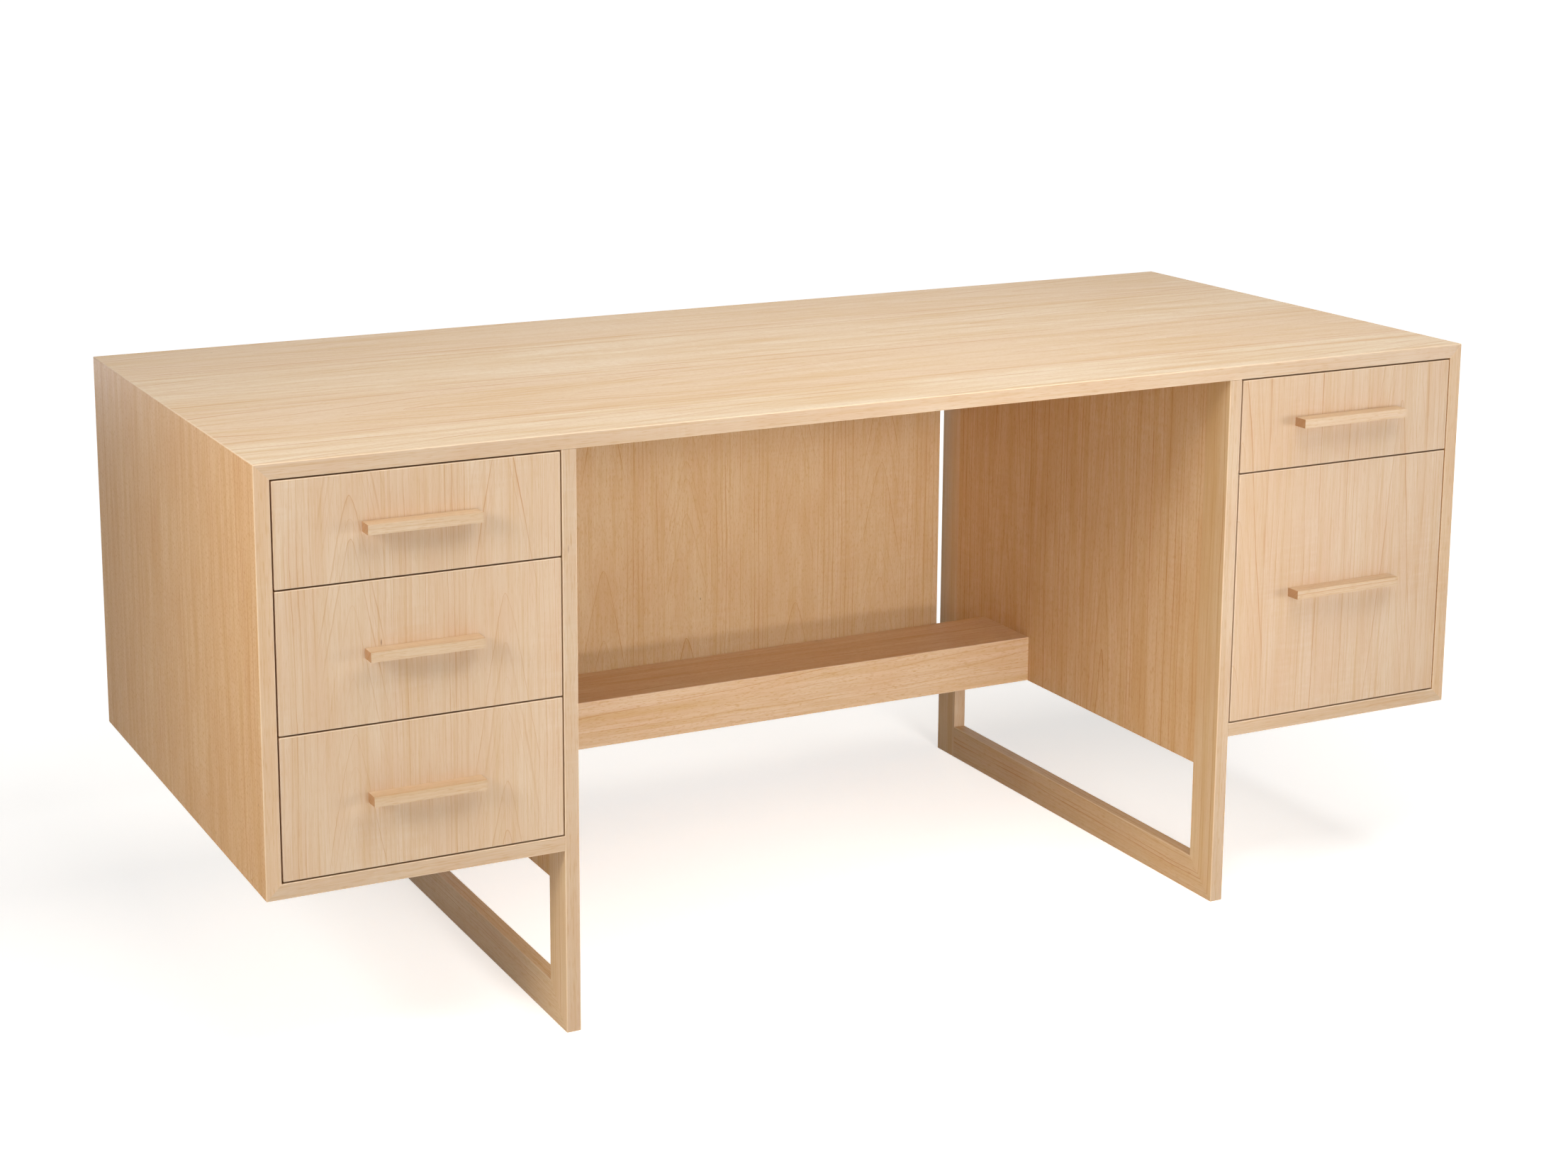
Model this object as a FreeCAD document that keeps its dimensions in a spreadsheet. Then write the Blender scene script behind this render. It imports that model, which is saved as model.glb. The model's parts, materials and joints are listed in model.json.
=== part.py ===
import FreeCAD, Part
import os
from types import SimpleNamespace

import Sketcher

# Cantilever desk: a mitred case carried on two gables, with a beam and a modesty panel between
# the gables and five inset drawers on telescopic slides.
# X runs along the desk, the drawer fronts face -Y, Z is up and the floor is at Z = 0.

# Driving sizes, in millimetres
DRIVING_SIZES = {
    # Overall size of the case, without the pulls
    "desk_width": 1728,
    "desk_depth": 732,
    "desk_height": 750,
    # Case and gables
    "board_thickness": 19,
    "underside_height": 235,
    "pedestal_clear_width": 354,
    "gable_rear_inset": 6,
    "back_board_thickness": 12,
    # Leg frame below each gable
    "leg_opening_top": 186,
    "leg_width": 50,
    "floor_rail_height": 50,
    # Beam and modesty panel
    "beam_rear_setback": 132,
    "beam_depth": 126,
    "beam_height": 68,
    "modesty_side_gap": 17,
    # Drawer fronts
    "front_gap": 2,
    "shallow_front_height": 126,
    "middle_front_height": 170,
    # Pulls and their screws
    "pull_height": 12,
    "pull_depth": 21,
    "left_pull_length": 140,
    "right_pull_length": 172,
    "left_screw_spacing": 96,
    "right_screw_spacing": 128,
    "screw_diameter": 4,
    "screw_hole_play": 0.3,
    "screw_head_diameter": 9,
    "screw_head_height": 3,
    "screw_head_bevel": 0.8,
    "screw_grip": 13,
    "screw_end_room": 2,
    # Drawer boxes
    "box_board_thickness": 12,
    "box_depth": 560,
    "box_lower_margin": 14,
    "box_upper_margin": 20,
    "bottom_thickness": 6,
    "bottom_rise": 10,
    "groove_depth": 6,
    "groove_play": 0.2,
    # Telescopic slides
    "slide_space": 12.7,
    "slide_length": 550,
    "slide_height": 45,
    "slide_steel": 1.5,
    "slide_play": 0.5,
    "slide_rise": 44,
    "slide_setback": 4,
}

doc = FreeCAD.newDocument("CantileverDesk")
sheet = doc.addObject("Spreadsheet::Sheet", "Sizes")
for row, (name, value) in enumerate(DRIVING_SIZES.items(), start=1):
    sheet.set(f"A{row}", name)
    sheet.set(f"B{row}", str(value))
    sheet.setAlias(f"B{row}", name)
doc.recompute()

# size.NAME is the text that stands for a sheet cell in an expression
size = SimpleNamespace(**{name: f"Sizes.{name}" for name in DRIVING_SIZES})
BOARD = size.board_thickness

# Levels and planes that several pieces share, each written as an expression of the driving sizes.
# The pulls stand out at the front, so the case sits half their depth behind the origin.
CASE_FRONT = f"(({size.pull_depth} - {size.desk_depth}) / 2)"
CASE_REAR = f"(({size.pull_depth} + {size.desk_depth}) / 2)"
CASE_MIDDLE = f"({size.pull_depth} / 2)"
PULL_FACE = f"({CASE_FRONT} - {size.pull_depth})"
HALF_WIDTH = f"({size.desk_width} / 2)"
TOP_UNDERSIDE = f"({size.desk_height} - {BOARD})"
BOTTOM_UPPER_FACE = f"({size.underside_height} + {BOARD})"
SIDE_INNER_FACE = f"({HALF_WIDTH} - {BOARD})"
GABLE_OUTER_FACE = f"({SIDE_INNER_FACE} - {size.pedestal_clear_width})"
GABLE_INNER_FACE = f"({GABLE_OUTER_FACE} - {BOARD})"
GABLE_REAR = f"({CASE_REAR} - {size.gable_rear_inset})"
FRONT_REAR_FACE = f"({CASE_FRONT} + {BOARD})"

subparts = []


def keep(piece, label):
    """Give a finished piece its own label and put it on the list of pieces to write."""
    piece.Label = label
    subparts.append(piece)
    return piece


def number(expression):
    """Value of an expression now, as a plain number."""
    value = sheet.evalExpression(expression)
    return float(getattr(value, "Value", value))


def block(name, low, high):
    """Square-edged block from its low corner to its high corner, both given as expressions."""
    box = doc.addObject("Part::Box", name)
    for side, axis, start, end in zip(("Length", "Width", "Height"), "xyz", low, high):
        box.setExpression(side, f"{end} - ({start})")
        box.setExpression(f"Placement.Base.{axis}", start)
    return box


def group(name, pieces):
    """Several separate solids held as one object."""
    compound = doc.addObject("Part::Compound", name)
    compound.Links = pieces
    return compound


def cut(name, base, tool):
    """The base with the tool's volume taken away."""
    result = doc.addObject("Part::Cut", name)
    result.Base = base
    result.Tool = tool
    return result


def outline_sketch(body, plane_role, points):
    """Closed straight-sided outline on one of the body's own planes, every corner bound."""
    sketch = body.newObject("Sketcher::SketchObject", f"{body.Name}_outline")
    plane = next(part for part in body.Origin.OriginFeatures if part.Role == plane_role)
    sketch.AttachmentSupport = [(plane, "")]
    sketch.MapMode = "FlatFace"
    corners = [FreeCAD.Vector(number(across), number(up), 0) for across, up in points]
    count = len(corners)
    for index, corner in enumerate(corners):
        sketch.addGeometry(Part.LineSegment(corner, corners[(index + 1) % count]), False)
    for index in range(count):
        sketch.addConstraint(Sketcher.Constraint("Coincident", index, 2, (index + 1) % count, 1))
    for index, (corner, bound) in enumerate(zip(corners, points)):
        for kind, letter, value, expression in (
            ("DistanceX", "across", corner.x, bound[0]),
            ("DistanceY", "up", corner.y, bound[1]),
        ):
            constraint = sketch.addConstraint(Sketcher.Constraint(kind, -1, 1, index, 1, value))
            sketch.renameConstraint(constraint, f"{letter}{index}")
            sketch.setExpression(f"Constraints.{letter}{index}", expression)
    return sketch


def profiled_board(name, plane_role, points, thickness, axis, middle):
    """Body padded to both sides of an outline; its middle lies at a place along one axis."""
    body = doc.addObject("PartDesign::Body", name)
    pad = body.newObject("PartDesign::Pad", f"{name}_pad")
    pad.Profile = outline_sketch(body, plane_role, points)
    pad.SideType = "Symmetric"
    pad.setExpression("Length", thickness)
    body.setExpression(f"Placement.Base.{axis}", middle)
    body.Tip = pad
    return body


def case_board(name, points):
    """Board that runs the full depth of the case, from its outline seen from the front."""
    return keep(profiled_board(name, "XZ_Plane", points, size.desk_depth, "y", CASE_MIDDLE), name)


# Case: the top, the sides and the pedestal bottoms meet in mitres at the outer corners

case_board("top_panel", [
    (f"-{SIDE_INNER_FACE}", TOP_UNDERSIDE),
    (SIDE_INNER_FACE, TOP_UNDERSIDE),
    (HALF_WIDTH, size.desk_height),
    (f"-{HALF_WIDTH}", size.desk_height),
])

# direction is -1 for the left of the desk and 1 for the right
HANDS = {"left": -1, "right": 1}


def on_hand(direction, distance):
    """Place along X at a distance from the middle of the desk, to the left or the right."""
    return f"({direction} * {distance})"


def span_on_hand(direction, near, far):
    """Low and high X of a piece that reaches from one distance to another on one hand."""
    ends = (on_hand(direction, near), on_hand(direction, far))
    return ends if direction > 0 else ends[::-1]


for hand, direction in HANDS.items():
    outer = on_hand(direction, HALF_WIDTH)
    inner = on_hand(direction, SIDE_INNER_FACE)
    case_board(f"{hand}_side_panel", [
        (inner, BOTTOM_UPPER_FACE),
        (outer, size.underside_height),
        (outer, size.desk_height),
        (inner, TOP_UNDERSIDE),
    ])
    gable_face = on_hand(direction, GABLE_OUTER_FACE)
    case_board(f"{hand}_bottom_panel", [
        (gable_face, size.underside_height),
        (outer, size.underside_height),
        (inner, BOTTOM_UPPER_FACE),
        (gable_face, BOTTOM_UPPER_FACE),
    ])
    back_low, back_high = span_on_hand(direction, GABLE_OUTER_FACE, SIDE_INNER_FACE)
    back = block(
        f"{hand}_back_panel",
        (back_low, f"{GABLE_REAR} - {size.back_board_thickness}", BOTTOM_UPPER_FACE),
        (back_high, GABLE_REAR, TOP_UNDERSIDE),
    )
    keep(back, f"{hand}_back_panel")

# Gables: a front and a rear leg run from the floor up to the top, with a panel between them above
# the leg opening and a rail that lies on the floor

LEG_FRONT_INNER = f"({CASE_FRONT} + {size.leg_width})"
LEG_REAR_INNER = f"({GABLE_REAR} - {size.leg_width})"

for hand, direction in HANDS.items():
    gable_low, gable_high = span_on_hand(direction, GABLE_INNER_FACE, GABLE_OUTER_FACE)
    gable_middle = on_hand(direction, f"({GABLE_INNER_FACE} + {BOARD} / 2)")
    panel = block(
        f"{hand}_gable_panel",
        (gable_low, LEG_FRONT_INNER, size.leg_opening_top),
        (gable_high, LEG_REAR_INNER, TOP_UNDERSIDE),
    )
    keep(panel, f"{hand}_gable_panel")
    # The front leg meets the floor rail in a mitre from the floor corner to the inner corner
    front_leg = profiled_board(
        f"{hand}_front_leg",
        "YZ_Plane",
        [
            (CASE_FRONT, "0"),
            (LEG_FRONT_INNER, size.floor_rail_height),
            (LEG_FRONT_INNER, TOP_UNDERSIDE),
            (CASE_FRONT, TOP_UNDERSIDE),
        ],
        BOARD, "x", gable_middle,
    )
    keep(front_leg, f"{hand}_front_leg")
    floor_rail = profiled_board(
        f"{hand}_floor_rail",
        "YZ_Plane",
        [
            (CASE_FRONT, "0"),
            (LEG_REAR_INNER, "0"),
            (LEG_REAR_INNER, size.floor_rail_height),
            (LEG_FRONT_INNER, size.floor_rail_height),
        ],
        BOARD, "x", gable_middle,
    )
    keep(floor_rail, f"{hand}_floor_rail")
    # The rear leg runs down to the floor, and the rail butts against it
    rear_leg = block(
        f"{hand}_rear_leg",
        (gable_low, LEG_REAR_INNER, "0"),
        (gable_high, GABLE_REAR, TOP_UNDERSIDE),
    )
    keep(rear_leg, f"{hand}_rear_leg")

# Beam: a top board mitred to a front and a rear board, open underneath, from gable to gable.
# Its place is measured from the rear, so that it keeps clear of the modesty panel.

BEAM_REAR = f"({GABLE_REAR} - {size.beam_rear_setback})"
BEAM_FRONT = f"({BEAM_REAR} - {size.beam_depth})"
BEAM_UPPER_FACE = f"({size.leg_opening_top} + {size.beam_height})"
BEAM_TOP_UNDERSIDE = f"({BEAM_UPPER_FACE} - {BOARD})"
KNEEHOLE_WIDTH = f"(2 * {GABLE_INNER_FACE})"


def beam_board(name, points):
    """Board that spans the kneehole, from its outline seen from the side."""
    return keep(profiled_board(name, "YZ_Plane", points, KNEEHOLE_WIDTH, "x", "0"), name)


beam_board("beam_top_board", [
    (f"{BEAM_FRONT} + {BOARD}", BEAM_TOP_UNDERSIDE),
    (f"{BEAM_REAR} - {BOARD}", BEAM_TOP_UNDERSIDE),
    (BEAM_REAR, BEAM_UPPER_FACE),
    (BEAM_FRONT, BEAM_UPPER_FACE),
])
for name, face, inner in (
    ("beam_front_board", BEAM_FRONT, f"{BEAM_FRONT} + {BOARD}"),
    ("beam_rear_board", BEAM_REAR, f"{BEAM_REAR} - {BOARD}"),
):
    beam_board(name, [
        (face, size.leg_opening_top),
        (face, BEAM_UPPER_FACE),
        (inner, BEAM_TOP_UNDERSIDE),
        (inner, size.leg_opening_top),
    ])

# Modesty panel: hangs from the top between the gables, with a slit at each side

MODESTY_HALF_WIDTH = f"({GABLE_INNER_FACE} - {size.modesty_side_gap})"
modesty_panel = block(
    "modesty_panel",
    (f"-{MODESTY_HALF_WIDTH}", f"{GABLE_REAR} - {BOARD}", size.leg_opening_top),
    (MODESTY_HALF_WIDTH, GABLE_REAR, TOP_UNDERSIDE),
)
keep(modesty_panel, "modesty_panel")

# Drawer fronts stack up each pedestal with an even gap; each drawer is given by its hand and by
# the lower and upper edge of its front

UPPER_FRONT_TOP = f"({TOP_UNDERSIDE} - {size.front_gap})"
UPPER_FRONT_FOOT = f"({UPPER_FRONT_TOP} - {size.shallow_front_height})"
SECOND_FRONT_TOP = f"({UPPER_FRONT_FOOT} - {size.front_gap})"
SECOND_FRONT_FOOT = f"({SECOND_FRONT_TOP} - {size.middle_front_height})"
THIRD_FRONT_TOP = f"({SECOND_FRONT_FOOT} - {size.front_gap})"
LOWEST_FRONT_FOOT = f"({BOTTOM_UPPER_FACE} + {size.front_gap})"

DRAWERS = {
    "left_top_drawer": ("left", UPPER_FRONT_FOOT, UPPER_FRONT_TOP),
    "left_middle_drawer": ("left", SECOND_FRONT_FOOT, SECOND_FRONT_TOP),
    "left_bottom_drawer": ("left", LOWEST_FRONT_FOOT, THIRD_FRONT_TOP),
    "right_top_drawer": ("right", UPPER_FRONT_FOOT, UPPER_FRONT_TOP),
    "right_file_drawer": ("right", LOWEST_FRONT_FOOT, SECOND_FRONT_TOP),
}
PULL_LENGTH = {"left": size.left_pull_length, "right": size.right_pull_length}
SCREW_SPACING = {"left": size.left_screw_spacing, "right": size.right_screw_spacing}

PEDESTAL_MIDDLE = f"({GABLE_OUTER_FACE} + {size.pedestal_clear_width} / 2)"
BOX_HALF_WIDTH = f"({size.pedestal_clear_width} / 2 - {size.slide_space})"
BOX_INNER_HALF_WIDTH = f"({BOX_HALF_WIDTH} - {size.box_board_thickness})"
BOX_REAR = f"({FRONT_REAR_FACE} + {size.box_depth})"
BOX_FRONT_INNER = f"({FRONT_REAR_FACE} + {size.box_board_thickness})"
BOX_BACK_INNER = f"({BOX_REAR} - {size.box_board_thickness})"

# Pull screws pass through the box front and the drawer front into the pull
SCREW_HOLE_RADIUS = f"({size.screw_diameter} / 2 + {size.screw_hole_play})"
SCREW_TIP = f"({CASE_FRONT} - {size.screw_grip})"
SCREW_HOLE_END = f"({SCREW_TIP} - {size.screw_end_room})"
SCREW_LENGTH = f"({BOX_FRONT_INNER} - {SCREW_TIP})"

# A cylinder stands along Z; this turn lays it along Y, pointing to the rear
ALONG_Y = FreeCAD.Rotation(FreeCAD.Vector(1, 0, 0), -90)


def screw_hole(name, x_place, z_place):
    """Drill for one pull screw, from inside the box to its blind end in the pull."""
    drill = doc.addObject("Part::Cylinder", name)
    drill.Placement = FreeCAD.Placement(FreeCAD.Vector(), ALONG_Y)
    drill.setExpression("Radius", SCREW_HOLE_RADIUS)
    drill.setExpression("Height", f"{BOX_FRONT_INNER} - {SCREW_HOLE_END}")
    drill.setExpression("Placement.Base.x", x_place)
    drill.setExpression("Placement.Base.y", SCREW_HOLE_END)
    drill.setExpression("Placement.Base.z", z_place)
    return drill


def pull_screw(name, x_place, z_place):
    """Pan-head screw turned about Y, its head against the inside of the box front."""
    body = doc.addObject("PartDesign::Body", name)
    head_radius = f"({size.screw_head_diameter} / 2)"
    head_end = size.screw_head_height
    turn = body.newObject("PartDesign::Revolution", f"{name}_turn")
    turn.Profile = outline_sketch(body, "XY_Plane", [
        ("0", f"-{SCREW_LENGTH}"),
        (f"{size.screw_diameter} / 2", f"-{SCREW_LENGTH}"),
        (f"{size.screw_diameter} / 2", "0"),
        (head_radius, "0"),
        (head_radius, f"{head_end} - {size.screw_head_bevel}"),
        (f"{head_radius} - {size.screw_head_bevel}", head_end),
        ("0", head_end),
    ])
    turn.ReferenceAxis = (turn.Profile[0], ["V_Axis"])
    body.setExpression("Placement.Base.x", x_place)
    body.setExpression("Placement.Base.y", BOX_FRONT_INNER)
    body.setExpression("Placement.Base.z", z_place)
    body.Tip = turn
    return body


# Each slide member is a channel: a web and two flanges. Distances run from the case wall towards
# the drawer, and each member nests in the last one with the same play all round.

NEST_STEP = f"({size.slide_steel} + {size.slide_play})"
FLANGE_TIP = f"({size.slide_space} - {NEST_STEP})"
TRACK = {
    "web_back": "0",
    "web_face": size.slide_steel,
    "tip": FLANGE_TIP,
    "half_height": f"({size.slide_height} / 2)",
}
MIDDLE_MEMBER = {
    "web_back": NEST_STEP,
    "web_face": f"({NEST_STEP} + {size.slide_steel})",
    "tip": FLANGE_TIP,
    "half_height": f"({size.slide_height} / 2 - {NEST_STEP})",
}
DRAWER_RAIL = {
    "web_back": size.slide_space,
    "web_face": f"({size.slide_space} - {size.slide_steel})",
    "tip": f"(2 * {NEST_STEP})",
    "half_height": f"({size.slide_height} / 2 - 2 * {NEST_STEP})",
}
SLIDE_MIDDLE = f"({FRONT_REAR_FACE} + {size.slide_setback} + {size.slide_length} / 2)"


def slide_member(name, section, wall, towards_drawer, height):
    """One channel of a slide, standing off the case wall in the direction of the drawer."""
    def from_wall(distance):
        return f"({wall} + {towards_drawer} * {distance})"

    def above(offset):
        return f"({height} + {offset})"

    half = section["half_height"]
    flange = f"({half} - {size.slide_steel})"
    back = from_wall(section["web_back"])
    face = from_wall(section["web_face"])
    tip = from_wall(section["tip"])
    points = [
        (back, above(f"-{half}")),
        (tip, above(f"-{half}")),
        (tip, above(f"-{flange}")),
        (face, above(f"-{flange}")),
        (face, above(flange)),
        (tip, above(flange)),
        (tip, above(half)),
        (back, above(half)),
    ]
    return profiled_board(name, "XZ_Plane", points, size.slide_length, "y", SLIDE_MIDDLE)


def slide_pair(name, section, direction, height):
    """The same slide member on both walls of a pedestal."""
    walls = (
        (on_hand(direction, GABLE_OUTER_FACE), direction),
        (on_hand(direction, SIDE_INNER_FACE), -direction),
    )
    return [
        slide_member(f"{name}_{place}", section, wall, towards_drawer, height)
        for place, (wall, towards_drawer) in zip(("inner", "outer"), walls)
    ]


def drawer(name, hand, foot, top):
    """All pieces of one drawer; returns the tracks that stay on the case."""
    direction = HANDS[hand]
    middle = on_hand(direction, PEDESTAL_MIDDLE)
    centre = f"(({foot} + {top}) / 2)"
    half_spacing = f"({SCREW_SPACING[hand]} / 2)"
    screw_places = [f"({middle} {sign} {half_spacing})" for sign in "-+"]
    drills = [
        screw_hole(f"{name}_drill_{index}", place, centre)
        for index, place in enumerate(screw_places)
    ]

    half_front = f"({size.pedestal_clear_width} / 2 - {size.front_gap})"
    front_blank = block(
        f"{name}_front_blank",
        (f"{middle} - {half_front}", CASE_FRONT, foot),
        (f"{middle} + {half_front}", FRONT_REAR_FACE, top),
    )
    front_drills = group(f"{name}_front_drills", drills)
    keep(cut(f"{name}_front", front_blank, front_drills), f"{name}_front")

    half_pull = f"({PULL_LENGTH[hand]} / 2)"
    half_pull_height = f"({size.pull_height} / 2)"
    pull_blank = block(
        f"{name}_pull_blank",
        (f"{middle} - {half_pull}", PULL_FACE, f"{centre} - {half_pull_height}"),
        (f"{middle} + {half_pull}", CASE_FRONT, f"{centre} + {half_pull_height}"),
    )
    keep(cut(f"{name}_pull", pull_blank, front_drills), f"{name}_pull")

    screws = [
        pull_screw(f"{name}_screw_{index}", place, centre)
        for index, place in enumerate(screw_places)
    ]
    keep(group(f"{name}_pull_screws", screws), f"{name}_pull_screws")

    # The box: two sides with a box front and a box back between them, grooved for the bottom
    box_foot = f"({foot} + {size.box_lower_margin})"
    box_top = f"({top} - {size.box_upper_margin})"
    bottom_face = f"({box_foot} + {size.bottom_rise})"
    bottom_top = f"({bottom_face} + {size.bottom_thickness})"
    groove = block(
        f"{name}_groove",
        (
            f"{middle} - {BOX_INNER_HALF_WIDTH} - {size.groove_depth}",
            f"{BOX_FRONT_INNER} - {size.groove_depth}",
            bottom_face,
        ),
        (
            f"{middle} + {BOX_INNER_HALF_WIDTH} + {size.groove_depth}",
            f"{BOX_BACK_INNER} + {size.groove_depth}",
            f"{bottom_top} + {size.groove_play}",
        ),
    )
    side_blanks = [
        block(
            f"{name}_side_blank_{place}",
            (f"{middle} + {low}", FRONT_REAR_FACE, box_foot),
            (f"{middle} + {high}", BOX_REAR, box_top),
        )
        for place, low, high in (
            ("west", f"-{BOX_HALF_WIDTH}", f"-{BOX_INNER_HALF_WIDTH}"),
            ("east", BOX_INNER_HALF_WIDTH, BOX_HALF_WIDTH),
        )
    ]
    sides = cut(f"{name}_sides", group(f"{name}_side_blanks", side_blanks), groove)
    keep(sides, f"{name}_box_sides")
    end_blanks = [
        block(
            f"{name}_end_blank_{place}",
            (f"{middle} - {BOX_INNER_HALF_WIDTH}", near, box_foot),
            (f"{middle} + {BOX_INNER_HALF_WIDTH}", far, box_top),
        )
        for place, near, far in (
            ("front", FRONT_REAR_FACE, BOX_FRONT_INNER),
            ("back", BOX_BACK_INNER, BOX_REAR),
        )
    ]
    end_tools = group(f"{name}_end_tools", [groove, *drills])
    ends = cut(f"{name}_ends", group(f"{name}_end_blanks", end_blanks), end_tools)
    keep(ends, f"{name}_box_ends")
    bottom_reach = f"({size.groove_depth} - {size.groove_play})"
    bottom = block(
        f"{name}_bottom",
        (
            f"{middle} - {BOX_INNER_HALF_WIDTH} - {bottom_reach}",
            f"{BOX_FRONT_INNER} - {bottom_reach}",
            bottom_face,
        ),
        (
            f"{middle} + {BOX_INNER_HALF_WIDTH} + {bottom_reach}",
            f"{BOX_BACK_INNER} + {bottom_reach}",
            bottom_top,
        ),
    )
    keep(bottom, f"{name}_box_bottom")

    slide_height = f"({box_foot} + {size.slide_rise})"
    rails = slide_pair(f"{name}_rail", DRAWER_RAIL, direction, slide_height)
    keep(group(f"{name}_slide_rails", rails), f"{name}_slide_rails")
    members = slide_pair(f"{name}_member", MIDDLE_MEMBER, direction, slide_height)
    keep(group(f"{name}_slide_middles", members), f"{name}_slide_middles")
    return slide_pair(f"{name}_track", TRACK, direction, slide_height)


tracks = []
for name, (hand, foot, top) in DRAWERS.items():
    tracks.extend(drawer(name, hand, foot, top))
keep(group("slide_tracks", tracks), "slide_tracks")

# Check the whole document, then write one file for each piece

doc.recompute()
for item in doc.Objects:
    if "Invalid" in item.State or "Error" in item.State:
        raise RuntimeError(f"{item.Label} did not build: {item.State}")
for piece in subparts:
    if piece.Shape.isNull() or not piece.Shape.isValid():
        raise RuntimeError(f"{piece.Label} has no valid shape")

os.makedirs("parts", exist_ok=True)
for piece in subparts:
    piece.Shape.exportStep(f"parts/{piece.Label}.step")
print(f"{len(subparts)} pieces, {sum(len(piece.Shape.Solids) for piece in subparts)} solids")
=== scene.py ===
# %% [markdown]
# # A maple desk on two leg frames
# The desk is a long mitred case with three drawers on the left and two on the right. Two gables
# carry it, and each gable ends in an open leg frame on the floor. The solid model is loaded first
# and stays where it is. Boards whose edges meet in mitres are built again here with eased edges,
# and every other piece keeps its solid and gets an edge and a finish.

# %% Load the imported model
import json
import math

import bmesh
import bpy
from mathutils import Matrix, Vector

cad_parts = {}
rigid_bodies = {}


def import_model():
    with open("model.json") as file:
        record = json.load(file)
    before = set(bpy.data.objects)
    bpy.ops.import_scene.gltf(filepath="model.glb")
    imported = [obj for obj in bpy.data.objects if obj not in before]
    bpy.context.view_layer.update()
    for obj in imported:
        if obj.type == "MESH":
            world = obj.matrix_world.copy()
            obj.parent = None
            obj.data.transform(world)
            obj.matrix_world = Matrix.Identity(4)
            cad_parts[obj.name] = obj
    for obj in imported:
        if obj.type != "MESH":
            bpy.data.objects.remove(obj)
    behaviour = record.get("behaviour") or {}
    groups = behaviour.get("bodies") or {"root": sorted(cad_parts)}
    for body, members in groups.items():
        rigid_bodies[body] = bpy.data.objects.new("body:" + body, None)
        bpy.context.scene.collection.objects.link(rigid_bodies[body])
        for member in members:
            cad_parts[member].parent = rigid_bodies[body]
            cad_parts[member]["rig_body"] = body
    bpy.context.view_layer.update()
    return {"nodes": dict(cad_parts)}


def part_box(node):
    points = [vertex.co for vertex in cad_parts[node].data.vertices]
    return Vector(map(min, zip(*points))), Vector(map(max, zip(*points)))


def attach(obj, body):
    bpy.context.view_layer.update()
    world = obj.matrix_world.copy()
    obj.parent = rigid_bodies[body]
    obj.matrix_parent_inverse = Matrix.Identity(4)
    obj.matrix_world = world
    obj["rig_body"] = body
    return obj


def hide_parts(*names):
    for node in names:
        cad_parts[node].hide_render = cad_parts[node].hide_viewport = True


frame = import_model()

nodes = frame["nodes"]

# %% [markdown]
# ## Camera
# The photograph was taken from the left, a little above the top, with a lens that was shifted
# down: the uprights hardly lean although the camera looks down. A camera that only looks down
# would make them lean more, so part of the framing is done with lens shift. The place and the
# angles come from a fit of the desk's corners.

# %% Camera
MM = 0.001
SENSOR_MM = 36
CAMERA_PLACE = (-1703.6 * MM, -3200.0 * MM, 1417.9 * MM)
CAMERA_YAW = 25.927
CAMERA_PITCH = -11.265
LENS_MM = 62.03
SHIFT = (0.0585, -0.1264)

camera_data = bpy.data.cameras.new("desk_camera")
camera_data.sensor_width = SENSOR_MM
camera_data.lens = LENS_MM
camera_data.shift_x, camera_data.shift_y = SHIFT
camera = bpy.data.objects.new("desk_camera", camera_data)
bpy.context.scene.collection.objects.link(camera)
camera.location = CAMERA_PLACE
camera.rotation_euler = (math.radians(90 + CAMERA_PITCH), 0, math.radians(-CAMERA_YAW))
bpy.context.scene.camera = camera
bpy.context.scene.view_settings.view_transform = "Standard"
print("camera", [round(value, 3) for value in camera.location], "lens", LENS_MM)

# %% [markdown]
# ## Two helpers for materials
# A colour is easiest to judge as the hex value seen on a screen, but a shader works with linear
# light, so one function turns the first into the second. The other function adds a shader node,
# sets it, wires its inputs and hands back one of its outputs, so that a pattern reads like a
# chain of sums.

# %% Colour and node helpers


def hex_colour(code):
    """Linear RGBA of an sRGB hex colour such as "E0C09A"."""
    channels = [int(code[place:place + 2], 16) / 255 for place in (0, 2, 4)]
    linear = [c / 12.92 if c <= 0.04045 else ((c + 0.055) / 1.055) ** 2.4 for c in channels]
    return (*linear, 1.0)


def add(tree, kind, inputs=None, output=0, **settings):
    """New shader node with its settings and inputs; a socket given as an input is linked."""
    node = tree.nodes.new("ShaderNode" + kind)
    for name, value in settings.items():
        setattr(node, name, value)
    for name, value in (inputs or {}).items():
        if isinstance(value, bpy.types.NodeSocket):
            tree.links.new(value, node.inputs[name])
        else:
            node.inputs[name].default_value = value
    return node.outputs[output]


print("a warm white:", [round(c, 3) for c in hex_colour("F4E8D8")])

# %% [markdown]
# ## Maple figure
# The boards are faced with plain-sliced maple veneer. A log is sliced into leaves, and the leaves
# are laid side by side. In the middle of a leaf the growth rings are cut at a slant and show as
# tall pointed arches, and towards its edges they are cut square and show as straight lines. A
# scan of veneer would repeat on every board, so the figure is worked out from the way the log is
# cut. The arches come from one distance: how deep a point lies in the log, plus a little for each
# millimetre along the grain. Equal steps of that distance are rings. The straight lines are equal
# steps across the leaf. The same noise bends both, so that they wander together and no two arches
# are the same. The figure is one node group that reads millimetres along and across the grain, so
# any board can use it.

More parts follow.
